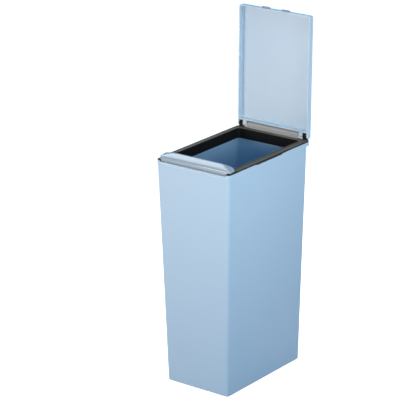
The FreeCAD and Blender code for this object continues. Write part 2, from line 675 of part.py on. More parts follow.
def lid_catch(side, sign):
    body = new_body(f"lid_catch_{side}")
    wall, front = f"-{lid_reach}", f"-({lid_reach} + catch_reach)"
    low, middle = f"({catch_level} - catch_height)", f"({catch_level} - catch_height / 2)"
    nose = sketch_on(body, "nose", "YZ_Plane", f"{sign} * catch_place")
    polygon(nose, [(wall, low), (f"{front} + catch_lead", low), (front, f"{low} + catch_lead"),
                   (front, catch_level), (wall, catch_level)])
    pad(body, nose, "catch_width", symmetric=True)

    def through_wall(name, start, end, tall, width):
        block = sketch_on(body, name, "YZ_Plane", f"{sign} * catch_place")
        polygon(block, [(start, f"{middle} - {tall} / 2"), (end, f"{middle} - {tall} / 2"),
                        (end, f"{middle} + {tall} / 2"), (start, f"{middle} + {tall} / 2")])
        pad(body, block, width, symmetric=True)

    inside = f"-({lid_reach} - lid_wall)"
    through_wall("peg", f"{wall} - catch_reach / 2", f"{inside} + peg_head", "peg_height", "peg_width")
    through_wall("peg_head", inside, f"{inside} + peg_head",
                 "(peg_height + 2 * peg_lip)", "(peg_width + 2 * peg_lip)")
    stand_open(body)
    return body


# Touch bar: a hollow shell whose back lip holds the catches, on a rocker

def bar_shell():
    body = new_body("bar_shell")
    base = "(body_height + bar_base)"
    plan = sketch_on(body, "plan", "XY_Plane", base)
    polygon(plan, [(f"-{bar_half}", bar_front), (bar_half, bar_front),
                   (bar_half, bar_back), (f"-{bar_half}", bar_back)])
    block = pad(body, plan, "bar_rise - bar_base")
    half = worked_out(bar_half)
    for radius, place in (("bar_corner", worked_out(bar_front)), ("bar_heel", worked_out(bar_back))):
        def at_corner(point):
            return abs(abs(point.x) - half) + abs(point.y - place) < 0.01

        block = fillet(body, block, radius, at_corner)

    beyond = "bar_corner"
    near, far = f"({bar_front} - {beyond})", f"({bar_back} + {beyond})"
    above = "body_height + 2 * bar_rise"
    slope = sketch_on(body, "slope", "YZ_Plane")
    polygon(slope, [(near, bar_top(near)), (far, bar_top(far)), (far, above), (near, above)])
    block = pocket(body, slope, f"3 * {bar_half}", symmetric=True)

    front, back = worked_out(bar_front), worked_out(bar_back)
    low, high = worked_out(bar_top(bar_front)), worked_out(bar_top(bar_back))

    def on_top(point):
        return abs(point.z - low - (point.y - front) * (high - low) / (back - front)) < 0.02

    fillet(body, block, "bar_round", on_top)

    below = f"({base} - bar_wall)"
    inner_front = f"({bar_front} + bar_wall)"
    hollow = sketch_on(body, "hollow", "YZ_Plane")
    polygon(hollow, [(inner_front, below), (bar_wall_front, below),
                     (bar_wall_front, f"{bar_top(bar_wall_front)} - bar_wall"),
                     (inner_front, f"{bar_top(inner_front)} - bar_wall")])
    pocket(body, hollow, bar_inside, symmetric=True)

    open_back = f"({bar_back} + bar_wall)"
    undercut = sketch_on(body, "undercut", "YZ_Plane")
    polygon(undercut, [(bar_wall_back, below), (open_back, below),
                       (open_back, f"{bar_top(open_back)} - lip_thick"),
                       (bar_wall_back, f"{bar_top(bar_wall_back)} - lip_thick")])
    pocket(body, undercut, "2 * catch_place + catch_width + 2 * catch_room", symmetric=True)

    skirt = sketch_on(body, "skirt", "XY_Plane", "body_height - bar_skirt")
    skirt_side = f"({bar_half} - bar_corner)"
    polygon(skirt, [(f"-{skirt_side}", bar_front), (skirt_side, bar_front),
                    (skirt_side, inner_front), (f"-{skirt_side}", inner_front)])
    pad(body, skirt, "bar_skirt + bar_ridge - bar_round")
    return body


def bar_rocker():
    body = new_body("bar_rocker")
    front, back = f"({bar_front} + 2 * bar_wall)", f"({bar_wall_front} - leg_gap)"

    def under_bar(place, drop):
        return f"({bar_top(place)} - bar_wall - strip_play - {drop})"

    strip = sketch_on(body, "strip", "YZ_Plane")
    polygon(strip, [(front, under_bar(front, "0")), (front, under_bar(front, "strip_thick")),
                    (back, under_bar(back, "strip_thick")), (back, under_bar(back, "0"))])
    pad(body, strip, f"{bar_inside} - 2 * bar_wall", symmetric=True)

    repeated = []
    leg = sketch_on(body, "leg", "YZ_Plane", f"{leg_place} - leg_thick / 2")
    low_back = f"({pivot_y} + leg_radius)"
    root = f"({spring_y} - leg_gap)"
    knee = "(body_height + bar_base - leg_gap)"
    points = [(low_back, pivot_z), (f"{pivot_y} - lip_gap", knee),
              (back, knee), (back, under_bar(back, "strip_play")),
              (root, under_bar(root, "strip_play")), (root, f"{knee} - strip_thick"),
              (f"{pivot_y} - leg_radius", pivot_z)]
    rounded_chain(leg, points, pivot_y, pivot_z, "leg_radius", 180)
    repeated.append(pad(body, leg, "leg_thick"))

    seat = sketch_on(body, "spring_seat", "XY_Plane", seat_z)
    circle(seat, "spring_place", spring_y, "seat_radius")
    seat_front, seat_back = f"({spring_y} - 2 * seat_radius)", f"({spring_y} + 2 * seat_radius)"
    above = under_bar(seat_back, "0")
    repeated.append(pad(body, seat, f"{above} - {seat_z}"))
    seat_slope = sketch_on(body, "seat_slope", "YZ_Plane")
    polygon(seat_slope, [(seat_front, under_bar(seat_front, "0")), (seat_back, above),
                         (seat_back, f"{above} + strip_thick"), (seat_front, f"{above} + strip_thick")])
    repeated.append(pocket(body, seat_slope, bar_inside, symmetric=True))
    nub = sketch_on(body, "spring_nub", "XY_Plane", f"{seat_z} - post_height")
    circle(nub, "spring_place", spring_y, "post_radius")
    repeated.append(pad(body, nub, "post_height + strip_thick / 2"))

    bore = sketch_on(body, "bore", "YZ_Plane", f"{leg_place} + leg_thick")
    circle(bore, pivot_y, pivot_z, "pin_radius + running_fit")
    repeated.append(pocket(body, bore, "2 * leg_thick"))
    mirror(body, repeated)
    return body


def bar_pin(side, sign):
    length = "(2 * (carrier_thick + leg_gap) + leg_thick)"
    start = f"{sign} * {leg_place} - {length} / 2"
    return rod_along("x", f"bar_pin_{side}", "pin_radius", start, length, {"y": pivot_y, "z": pivot_z})


# Springs: a round wire along smoothly joined arcs

def arc_edge(start, control, end):
    """The arc from start to end whose end tangents meet at the control point, midway between both."""
    into, out = (control - start).normalize(), (end - control).normalize()
    weight = math.sqrt((1 + into.dot(out)) / 2)
    middle = (start + control * (2 * weight) + end) * (1 / (2 + 2 * weight))
    return Part.Arc(start, middle, end).toShape()


def two_arcs(start, leaving, end, arriving):
    """Two arcs from start to end that keep the tangents given at both and meet smoothly."""
    across, both = end - start, leaving + arriving
    spread = 2 * (1 - leaving.dot(arriving))
    along = across.dot(both)
    reach = (math.sqrt(along ** 2 + spread * across.dot(across)) - along) / spread
    first, second = start + leaving * reach, end - arriving * reach
    meeting = (first + second) * 0.5
    return [arc_edge(start, first, meeting), arc_edge(meeting, second, end)]


def wire_tube(edges, start, leaving):
    ring = Part.Wire(Part.makeCircle(worked_out("wire_radius"), start, leaving))
    return Part.Wire(edges).makePipeShell([ring], True, False)


def winding(place, tangent, turns):
    """Arcs along a winding, a quarter turn at a time; place and tangent are functions of the turn."""
    stops = [quarter / 4 for quarter in range(round(turns * 4) + 1)]
    edges = []
    for before, after in zip(stops, stops[1:]):
        edges += two_arcs(place(before), tangent(before), place(after), tangent(after))
    return edges


def self_gap(points, wire, turn_points):
    """Least room between the wire and the wire one turn further on."""
    return min((one - two).Length for one, two in zip(points, points[turn_points:])) - 2 * wire


def spring_node(label, shape):
    spring = doc.addObject("Part::Feature", label)
    spring.Label = label
    spring.Shape = shape
    return spring


def bar_spring(side, sign):
    wire, radius, turns = (worked_out(name) for name in ("wire_radius", "spring_radius", "spring_turns"))
    hand = float(sign)
    centre = Vector(worked_out(f"{sign} * spring_place"), worked_out(spring_y), 0)
    low, high = worked_out(trough_floor) + 1.1 * wire, worked_out(seat_z) - 1.1 * wire

    def place(turn):
        angle = 2 * math.pi * turn
        level = low + (high - low) * turn / turns
        return centre + Vector(hand * radius * math.cos(angle), radius * math.sin(angle), level)

    def tangent(turn):
        angle = 2 * math.pi * turn
        rise = (high - low) / turns / (2 * math.pi)
        return Vector(-hand * radius * math.sin(angle), radius * math.cos(angle), rise).normalize()

    edges = winding(place, tangent, turns)
    gap = self_gap([place(step / 16) for step in range(round(turns * 16) + 1)], wire, 16)
    print(f"bar_spring_{side}: least gap between turns {gap:.2f} mm")
    return spring_node(f"bar_spring_{side}", wire_tube(edges, place(0), tangent(0)))


def lid_spring(side, sign):
    """Wound about the hinge pin: one end lies under the cover, the other is bent into the lid's ear."""
    names = ("wire_radius", "coil_radius", "coil_turns", "coil_pitch", "coil_bend", "coil_leg")
    wire, radius, turns, pitch, bend, leg = (worked_out(name) for name in names)
    hand = float(sign)
    centre = Vector(0, worked_out(hinge_y), worked_out(hinge_z))
    turn_radius = math.sqrt(radius ** 2 - bend ** 2)
    last_angle = -math.radians(worked_out("lid_open_angle")) - math.asin(bend / radius)
    last_place = worked_out(cover_end) - bend

    def place(turn):
        angle = last_angle + 2 * math.pi * (turn - turns)
        along = hand * (last_place - pitch * (turns - turn))
        return centre + Vector(along, turn_radius * math.cos(angle), turn_radius * math.sin(angle))

    def tangent(turn):
        angle = last_angle + 2 * math.pi * (turn - turns)
        rise = hand * pitch / (2 * math.pi)
        return Vector(rise, -turn_radius * math.sin(angle), turn_radius * math.cos(angle)).normalize()

    outward = Vector(hand, 0, 0)
    begin, finish = place(0), place(turns)
    corner = finish + tangent(turns) * bend
    tip_start = corner + outward * bend
    lead = begin - tangent(0) * (2 * wire)
    edges = [Part.makeLine(lead, begin)] + winding(place, tangent, turns)
    edges.append(arc_edge(finish, corner, tip_start))
    edges.append(Part.makeLine(tip_start, tip_start + outward * (leg + worked_out("cover_gap") - bend)))
    gap = self_gap([place(step / 16) for step in range(round(turns * 16) + 1)], wire, 16)
    print(f"lid_spring_{side}: least gap between turns {gap:.2f} mm")
    return spring_node(f"lid_spring_{side}", wire_tube(edges, lead, tangent(0)))


sub_parts = [bin_body(), frame_collar(), hinge_cover(), cover_screws(), lid(), bar_shell(), bar_rocker()]
sub_parts += foot_pads()
for maker in (hinge_pin, lid_catch, bar_pin, bar_spring, lid_spring):
    sub_parts += on_both_sides(maker)
doc.recompute()

failed = [item.Name for item in doc.Objects if "Invalid" in item.State or "Error" in item.State]
for part in sub_parts:
    if part.Shape.isNull() or not part.Shape.isValid() or not part.Shape.Solids:
        failed.append(part.Label)
if failed:
    raise RuntimeError(f"not built: {', '.join(failed)}")

os.makedirs("parts", exist_ok=True)
for part in sub_parts:
    box = part.Shape.BoundBox
    print(f"{part.Label}: {len(part.Shape.Solids)} solid, {part.Shape.Volume / 1000:.1f} cm3, "
          f"x {box.XMin:.1f} to {box.XMax:.1f}, y {box.YMin:.1f} to {box.YMax:.1f}, "
          f"z {box.ZMin:.1f} to {box.ZMax:.1f}")
    part.Shape.exportStep(f"parts/{part.Label}.step")
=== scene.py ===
import json
import math

import bmesh
import bpy
import numpy as np
from mathutils import Matrix, Vector


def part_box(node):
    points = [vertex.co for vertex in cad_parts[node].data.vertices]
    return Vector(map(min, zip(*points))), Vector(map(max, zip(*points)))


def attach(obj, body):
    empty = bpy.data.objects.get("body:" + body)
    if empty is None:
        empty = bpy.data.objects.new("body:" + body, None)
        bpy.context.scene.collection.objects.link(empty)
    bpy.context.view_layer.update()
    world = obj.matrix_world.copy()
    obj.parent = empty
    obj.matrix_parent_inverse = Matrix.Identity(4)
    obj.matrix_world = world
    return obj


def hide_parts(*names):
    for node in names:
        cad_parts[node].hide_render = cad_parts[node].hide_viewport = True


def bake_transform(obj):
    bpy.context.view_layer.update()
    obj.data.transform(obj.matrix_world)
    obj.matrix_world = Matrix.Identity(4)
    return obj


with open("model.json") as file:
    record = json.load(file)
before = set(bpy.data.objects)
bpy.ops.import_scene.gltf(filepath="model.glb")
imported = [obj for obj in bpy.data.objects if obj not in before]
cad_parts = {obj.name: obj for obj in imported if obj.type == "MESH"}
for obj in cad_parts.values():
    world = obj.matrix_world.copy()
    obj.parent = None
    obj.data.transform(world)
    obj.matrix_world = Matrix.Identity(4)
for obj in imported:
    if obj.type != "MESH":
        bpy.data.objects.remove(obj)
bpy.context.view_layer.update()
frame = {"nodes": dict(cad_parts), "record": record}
print("frame loaded:", len(frame["nodes"]), "nodes")


# one shader node; inputs may be numbers, colours or the sockets they come from
def addNode(tree, kind, inputs=(), **settings):
    node = tree.nodes.new("ShaderNode" + kind)
    for key, value in settings.items():
        setattr(node, key, value)
    for key, value in dict(inputs).items():
        if isinstance(value, bpy.types.NodeSocket):
            tree.links.new(value, node.inputs[key])
        else:
            node.inputs[key].default_value = value
    return node


def newMaterial(name):
    material = bpy.data.materials.new(name)
    material.use_nodes = True
    material.node_tree.nodes.clear()
    return material, material.node_tree


# a mask that runs from 0 at one value to 1 at the other
def rampBetween(tree, value, low, high):
    inputs = {"Value": value, "From Min": low, "From Max": high}
    return addNode(tree, "MapRange", inputs, interpolation_type="SMOOTHSTEP").outputs["Result"]


def mathNode(tree, operation, first, second):
    return addNode(tree, "Math", {0: first, 1: second}, operation=operation).outputs[0]


def dotProduct(tree, first, second):
    node = addNode(tree, "VectorMath", {0: first, 1: second}, operation="DOT_PRODUCT")
    return node.outputs["Value"]


# sockets 0, 6 and 7 of a Mix node are its factor and its two colours, 2 is the mixed colour
def mixColours(tree, factor, first, second):
    if not isinstance(first, bpy.types.NodeSocket):
        first = first + (1,)
    inputs = {0: factor, 6: first, 7: second + (1,)}
    return addNode(tree, "Mix", inputs, data_type="RGBA").outputs[2]


noiseRoughness = 0.55
noiseSpan = (0.3, 0.7)    # most of a noise lies between these


def noise(tree, coords, scale, detail=2.0, stretch=None):
    if stretch:
        coords = addNode(tree, "Mapping", {"Vector": coords, "Scale": stretch}).outputs[0]
    inputs = {"Vector": coords, "Scale": scale, "Detail": detail, "Roughness": noiseRoughness}
    return addNode(tree, "TexNoise", inputs).outputs["Fac"]


# roughness that follows a noise from one value to the other
def roughnessFrom(tree, value, roughness):
    inputs = {"Value": value, "From Min": noiseSpan[0], "From Max": noiseSpan[1],
              "To Min": roughness[0], "To Max": roughness[1]}
    return addNode(tree, "MapRange", inputs).outputs["Result"]


# what all plastics share: scale, detail and stretch of each noise, and where each mask starts and ends
plasticPattern = {
    "cloud": (7.0, 3.0), "smear": (17.0, 4.0),
    "streak": (26.0, 3.0, (1.0, 1.0, 0.06)), "streakSpan": (0.35, 0.75),
    "scratch": (420.0, 2.0, (1.0, 0.03, 0.45)), "scratchSpan": (0.70, 0.76), "scratchRough": 0.12,
    "edgeSamples": 6, "edgeSpan": (0.995, 0.86), "rubbedAndLitSpan": (0.2, 0.55),
    "upwardSpan": (0.5, 1.0), "inwardSpan": (0.0, -0.03),
    "dustSpan": (0.42, 0.72), "dustColour": (0.62, 0.60, 0.57),
}


# moulded plastic: clouding in the colour, flow streaks, spark-eroded grain, hairline scratches, edges
# lightened by wear and by a painted highlight, a little dust and a painted lighter colour for light
# from above on faces that look up, and painted shade as a deeper colour on faces that look inwards
def mouldedPlastic(name, look, p):
    material, tree = newMaterial(name)
    coords = addNode(tree, "TexCoord").outputs["Object"]
    geometry = addNode(tree, "NewGeometry").outputs
    soft = addNode(tree, "Bevel", {"Radius": look["edgeRadius"]}, samples=p["edgeSamples"]).outputs[0]
    edge = rampBetween(tree, dotProduct(tree, soft, geometry["True Normal"]), *p["edgeSpan"])
    upward = addNode(tree, "SeparateXYZ", {0: geometry["Normal"]}).outputs["Z"]
    upward = rampBetween(tree, upward, *p["upwardSpan"])

    cloud = noise(tree, coords, *p["cloud"])
    streak = rampBetween(tree, noise(tree, coords, *p["streak"]), *p["streakSpan"])
    grain = noise(tree, coords, look["grainScale"])
    scratch = rampBetween(tree, noise(tree, coords, *p["scratch"]), *p["scratchSpan"])
    smear = noise(tree, coords, *p["smear"])

    shade = mixColours(tree, cloud, look["colour"], look["colourTwo"])
    shade = mixColours(tree, streak, shade, look["streakColour"])
    # faces that look up take a lighter colour: painted light from above
    if "paintedLitTop" in look:
        shade = mixColours(tree, upward, shade, look["paintedLitTop"])
    # faces that look inwards take a deeper colour: painted shade inside the bin
    if "inside" in look:
        inputs = {0: coords, 1: look["middle"]}
        fromMiddle = addNode(tree, "VectorMath", inputs, operation="SUBTRACT").outputs[0]
        inward = dotProduct(tree, fromMiddle, geometry["Normal"])
        shade = mixColours(tree, rampBetween(tree, inward, *p["inwardSpan"]), shade, look["inside"])
    # edges are lightened both for wear and as a painted highlight
    rubbedAndLitEdges = mathNode(tree, "MULTIPLY", edge, rampBetween(tree, smear, *p["rubbedAndLitSpan"]))
    rubbedAndLitEdges = mathNode(tree, "MULTIPLY", rubbedAndLitEdges, look["rubAndHighlight"])
    shade = mixColours(tree, rubbedAndLitEdges, shade, look["edgeWearAndHighlightColour"])
    dust = mathNode(tree, "MULTIPLY", upward, rampBetween(tree, smear, *p["dustSpan"]))
    dust = mathNode(tree, "MULTIPLY", dust, look["dust"])
    shade = mixColours(tree, dust, shade, p["dustColour"])

    rough = roughnessFrom(tree, smear, look["roughness"])
    rough = mathNode(tree, "ADD", rough, mathNode(tree, "MULTIPLY", scratch, p["scratchRough"]))
    sunk = mathNode(tree, "MULTIPLY", scratch, look["scratchDepth"])
    height = mathNode(tree, "SUBTRACT", grain, sunk)
    bump = addNode(tree, "Bump", {"Strength": look["grainStrength"], "Distance": look["grainDepth"],
                                  "Height": height, "Normal": soft})
    shader = addNode(tree, "BsdfPrincipled", {"Base Color": shade, "Roughness": rough,
                                              "Normal": bump.outputs[0], **look.get("shader", {})})
    addNode(tree, "OutputMaterial", {"Surface": shader.outputs[0]})
    return material


# one look for each slot of the record, lengths in metres
plasticLooks = {
    "body_plastic": {
        "colour": (0.315, 0.45, 0.59), "colourTwo": (0.325, 0.46, 0.60),
        "streakColour": (0.32, 0.457, 0.60),
        # the deeper inner colour is painted shade inside the bin
        "inside": (0.235, 0.435, 0.65), "middle": (0.0, 0.0, 0.30),
        # the light edge colour is a painted highlight along the edges as well as wear
        "edgeWearAndHighlightColour": (0.74, 0.85, 0.93), "edgeRadius": 0.0014, "rubAndHighlight": 0.85, "dust": 0.10,
        "roughness": (0.36, 0.46), "scratchDepth": 0.6,
        "grainScale": 2600.0, "grainDepth": 0.00006, "grainStrength": 0.35,
    },
    "lid_plastic": {
        "colour": (0.375, 0.495, 0.60), "colourTwo": (0.385, 0.505, 0.61),
        "streakColour": (0.38, 0.502, 0.61),
        # the light edge colour is a painted highlight along the edges as well as wear
        "edgeWearAndHighlightColour": (0.66, 0.78, 0.88), "edgeRadius": 0.0012, "rubAndHighlight": 0.6, "dust": 0.06,
        "roughness": (0.34, 0.44), "scratchDepth": 0.6,
        "grainScale": 2600.0, "grainDepth": 0.00005, "grainStrength": 0.3,
        "shader": {"Subsurface Weight": 0.6, "Subsurface Scale": 1.0,
                   "Subsurface Radius": (0.0025, 0.003, 0.0035)},    # light through the thin wall
    },
    "bar_plastic": {
        "colour": (0.215, 0.28, 0.35), "colourTwo": (0.225, 0.29, 0.36),
        "streakColour": (0.225, 0.29, 0.36),
        "edgeWearAndHighlightColour": (0.44, 0.52, 0.60), "edgeRadius": 0.0012, "rubAndHighlight": 0.35, "dust": 0.0,
        "roughness": (0.10, 0.20), "scratchDepth": 0.4,
        "grainScale": 900.0, "grainDepth": 0.00003, "grainStrength": 0.15,
        "shader": {"Coat Weight": 0.8, "Coat Roughness": 0.06},
    },
    "collar_plastic": {
        "colour": (0.005, 0.006, 0.007), "colourTwo": (0.007, 0.008, 0.009),
        # the lighter colour on its upward faces is painted light from above
        "streakColour": (0.006, 0.007, 0.008), "paintedLitTop": (0.083, 0.075, 0.061),
        "edgeWearAndHighlightColour": (0.12, 0.11, 0.11), "edgeRadius": 0.0008, "rubAndHighlight": 0.3, "dust": 0.08,
        "roughness": (0.42, 0.56), "scratchDepth": 0.5,
        "grainScale": 2200.0, "grainDepth": 0.00008, "grainStrength": 0.5,
        "shader": {"Specular IOR Level": 0.08},
    },
    "cover_plastic": {
        "colour": (0.245, 0.265, 0.285), "colourTwo": (0.265, 0.285, 0.305),
        "streakColour": (0.255, 0.275, 0.295),
        "edgeWearAndHighlightColour": (0.32, 0.33, 0.34), "edgeRadius": 0.0007, "rubAndHighlight": 0.5, "dust": 0.10,
        "roughness": (0.40, 0.52), "scratchDepth": 0.5,
        "grainScale": 2200.0, "grainDepth": 0.00007, "grainStrength": 0.4,
    },
    "catch_plastic": {
        "colour": (0.20, 0.23, 0.32), "colourTwo": (0.22, 0.25, 0.34),
        "streakColour": (0.21, 0.24, 0.33),
        "edgeWearAndHighlightColour": (0.55, 0.57, 0.64), "edgeRadius": 0.0005, "rubAndHighlight": 0.5, "dust": 0.0,
        "roughness": (0.32, 0.45), "scratchDepth": 0.5,
        "grainScale": 2200.0, "grainDepth": 0.00005, "grainStrength": 0.3,
    },
    "pad_rubber": {
        "colour": (0.022, 0.022, 0.023), "colourTwo": (0.030, 0.029, 0.029),
        "streakColour": (0.026, 0.026, 0.026),
        "edgeWearAndHighlightColour": (0.07, 0.07, 0.07), "edgeRadius": 0.0005, "rubAndHighlight": 0.6, "dust": 0.2,
        "roughness": (0.65, 0.85), "scratchDepth": 0.3,
        "grainScale": 1500.0, "grainDepth": 0.0001, "grainStrength": 0.6,
    },
}
finishes = {slot: mouldedPlastic(slot, look, plasticPattern) for slot, look in plasticLooks.items()}

steelLook = {"colour": (0.52, 0.52, 0.53), "dull": (0.38, 0.38, 0.40), "roughness": (0.22, 0.38),
             "lines": (1400.0, 2.0, (0.03, 1.0, 1.0)), "lineDepth": 0.00003, "lineStrength": 0.3,
             "patch": (120.0, 3.0), "patchSpan": (0.4, 0.7)}


# drawn steel: fine lines across the bin, as the pins lie, and dull patches
def drawnSteel(name, look):
    material, tree = newMaterial(name)
    coords = addNode(tree, "TexCoord").outputs["Object"]
    lines = noise(tree, coords, *look["lines"])
    patch = noise(tree, coords, *look["patch"])
    dulled = rampBetween(tree, patch, *look["patchSpan"])
    shade = mixColours(tree, dulled, look["colour"], look["dull"])
    rough = roughnessFrom(tree, patch, look["roughness"])
    bump = addNode(tree, "Bump", {"Strength": look["lineStrength"], "Distance": look["lineDepth"],
                                  "Height": lines})
    shader = addNode(tree, "BsdfPrincipled", {"Base Color": shade, "Metallic": 1.0,
                                              "Roughness": rough, "Normal": bump.outputs[0]})
    addNode(tree, "OutputMaterial", {"Surface": shader.outputs[0]})
    return material


finishes["steel"] = drawnSteel("steel", steelLook)

slotOf = {part["node"]: part["material_slot"] for part in frame["record"]["subparts"]}
for nodeName, node in frame["nodes"].items():
    for slot in node.material_slots:
        slot.material = finishes[slotOf[nodeName]]
print("finishes:", len(finishes))

weldDistance = 1e-7
sharpAngle = 38    # degrees, steeper edges are shaded sharp


def boxOf(nodeName):
    return [np.array(corner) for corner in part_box(nodeName)]


# a piece from grids of points; rows run along it, columns round it and close on themselves. Both ends
# are closed by a fan on the middle of their row, or welded where the row is folded onto a line
def gridPiece(name, grids, slot, stands, folded=False):
    points, faces, start = [], [], 0
    for grid in grids:
        rows, columns = grid.shape[:2]
        index = start + np.arange(rows * columns).reshape(rows, columns)
        after = np.roll(index, -1, axis=1)
        quads = np.stack([index[:-1], after[:-1], after[1:], index[1:]], axis=-1)
        faces += quads.reshape(-1, 4).tolist()
        points.append(grid.reshape(-1, 3))
        if not folded:
            firstPole = start + rows * columns
            lastPole = firstPole + 1
            points.append(np.stack([grid[0].mean(axis=0), grid[-1].mean(axis=0)]))
            faces += np.stack([after[0], index[0], np.full(columns, firstPole)], axis=-1).tolist()
            faces += np.stack([index[-1], after[-1], np.full(columns, lastPole)], axis=-1).tolist()
        start = sum(map(len, points))
    mesh = bpy.data.meshes.new(name)
    mesh.from_pydata(np.concatenate(points).tolist(), [], faces)
    shell = bmesh.new()
    shell.from_mesh(mesh)
    bmesh.ops.remove_doubles(shell, verts=shell.verts, dist=weldDistance)
    bmesh.ops.recalc_face_normals(shell, faces=shell.faces)
    shell.to_mesh(mesh)
    shell.free()
    mesh.shade_smooth()
    mesh.set_sharp_from_angle(angle=math.radians(sharpAngle))
    mesh.materials.append(finishes[slot])
    piece = bpy.data.objects.new(name, mesh)
    bpy.context.scene.collection.objects.link(piece)
    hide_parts(stands)
    return piece


# a round wire along a path: at each point the ring lies across the path's direction,
# and its first spoke is the given outward direction made square to the path
def wireAlong(path, outward, radius, sides):
    along = np.gradient(path, axis=0)
    along /= np.linalg.norm(along, axis=1, keepdims=True)
    spoke = outward - along * np.sum(outward * along, axis=1, keepdims=True)
    spoke /= np.linalg.norm(spoke, axis=1, keepdims=True)
    across = np.cross(along, spoke)
    angle = np.linspace(0, 2 * np.pi, sides, endpoint=False)[None, :, None]
    ring = spoke[:, None] * np.cos(angle) + across[:, None] * np.sin(angle)
    return path[:, None] + radius * ring


barSpring = {"turns": 8, "steps": 48, "sides": 12, "wireRadius": 0.0005, "closed": 0.45}


# bar springs: a helix whose height goes with the share of the wire less one sine wave, so that it
# rises slowly at both ends, as closed ends do
def barSpringGrid(low, high, hand, s):
    middle = (low + high) / 2
    radius = (high[0] - low[0]) / 2 - s["wireRadius"]
    share = np.linspace(0, 1, s["turns"] * s["steps"] + 1)
    angle = 2 * np.pi * s["turns"] * share
    rise = share - s["closed"] / (2 * np.pi) * np.sin(2 * np.pi * share)
    outward = np.stack([hand * np.cos(angle), np.sin(angle), 0 * angle], axis=1)
    path = middle * (1, 1, 0) + radius * outward
    path[:, 2] = low[2] + s["wireRadius"] + (high[2] - low[2] - 2 * s["wireRadius"]) * rise
    return wireAlong(path, outward, s["wireRadius"], s["sides"])


lidSpring = {"turns": 6, "pitch": 0.0016, "steps": 48, "sides": 12, "wireRadius": 0.0005,
             "radius": 0.0034, "bend": 0.0010, "lead": 0.0010, "endAngle": -91.5,
             "bendSteps": 9, "tipSteps": 11, "leadSteps": 5}


# lid springs: a short straight lead, even turns about the hinge axis, then a quarter bend and a
# straight end into the lid's ear
def lidSpringGrid(axisPlace, coilEnd, tipEnd, hand, s):
    turnRadius = math.sqrt(s["radius"] ** 2 - s["bend"] ** 2)
    lastAngle = math.radians(s["endAngle"]) - math.asin(s["bend"] / s["radius"])
    share = np.linspace(0, 1, s["turns"] * s["steps"] + 1)
    angle = lastAngle + 2 * np.pi * s["turns"] * (share - 1)
    outward = np.stack([0 * angle, np.cos(angle), np.sin(angle)], axis=1)
    place = np.zeros_like(outward)
    place[:, 0] = hand * (coilEnd - s["bend"] - s["pitch"] * s["turns"] * (1 - share))
    coil = np.array([0, axisPlace[1], axisPlace[2]]) + place + turnRadius * outward
    leaving = np.array([0, -math.sin(lastAngle), math.cos(lastAngle)])
    sideways = np.array([hand, 0, 0])
    turn = np.linspace(0, np.pi / 2, s["bendSteps"] + 1)[1:, None]
    bend = coil[-1] + s["bend"] * (leaving * np.sin(turn) + sideways * (1 - np.cos(turn)))
    tipLength = tipEnd - abs(bend[-1][0])
    tip = bend[-1] + sideways * np.linspace(0, tipLength, s["tipSteps"] + 1)[1:, None]
    starting = np.array([0, -math.sin(angle[0]), math.cos(angle[0])])
    lead = coil[0] - starting * np.linspace(s["lead"], 0, s["leadSteps"] + 1)[:-1, None]
    path = np.concatenate([lead, coil, bend, tip])
    spokes = np.concatenate([np.repeat(outward[:1], len(lead), axis=0), outward,
                             np.repeat(outward[-1:], len(bend) + len(tip), axis=0)])
    return wireAlong(path, spokes, s["wireRadius"], s["sides"])


joints = {joint["name"]: joint for joint in frame["record"]["behaviour"]["joints"]}
hingeAxis = joints["lid_hinge"]["pos_m"]
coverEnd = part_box("hinge_cover")[1][0]
for side, hand in (("left", -1), ("right", 1)):
    low, high = boxOf("bar_spring_" + side)
    grid = barSpringGrid(low, high, hand, barSpring)
    spring = gridPiece("barSpring." + side, [grid], "steel", "bar_spring_" + side)
    foot, head = (low + high) / 2, (low + high) / 2
    foot[2], head[2] = low[2] + 2 * barSpring["wireRadius"], high[2] - 2 * barSpring["wireRadius"]
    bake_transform(spring)
    low, high = boxOf("lid_spring_" + side)
    tipEnd = max(abs(low[0]), abs(high[0]))
    grid = lidSpringGrid(hingeAxis, coverEnd, tipEnd, hand, lidSpring)
    spring = gridPiece("lidSpring." + side, [grid], "steel", "lid_spring_" + side)
    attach(spring, "lid_set")
print("springs wound")

# touch bar: a hollow shell, sizes in metres
touchBar = {
    "frontCorner": 0.009, "rearCorner": 0.005, "skirt": 0.005, "ridge": 0.008, "base": 0.0044,
    "foot": 0.001, "wall": 0.002, "frontLean": 0.0014,
    "lipDepth": 0.0064, "lipThick": 0.0020, "lipHalf": 0.044, "lipStep": 0.0002,
    "lipEdge": 0.0017, "lipFade": 0.030,
    "rollLength": 0.036, "rollDrop": 0.0062, "edge": 0.0032, "endEdge": 0.010, "crown": 0.0012,
    "edgeRoom": 0.0004, "lipRoom": 0.0001, "ceilingRoom": 0.0002, "onLine": 1e-6,
    "cornerSteps": 20, "longSteps": 56, "endSteps": 8, "topRows": 24, "wallRows": 5, "innerRows": 8,
}


# shares of the way along a long side where columns stand: even steps, and a close pair at each end
# of the lip
def barShares(halfRun, s):
    step = np.array([s["lipHalf"] - s["lipStep"], s["lipHalf"] + s["lipStep"]]) / (2 * halfRun)
    close = np.concatenate([0.5 - step, 0.5 + step])
    return np.unique(np.concatenate([np.linspace(0, 1, s["longSteps"] + 1)[:-1], close]))


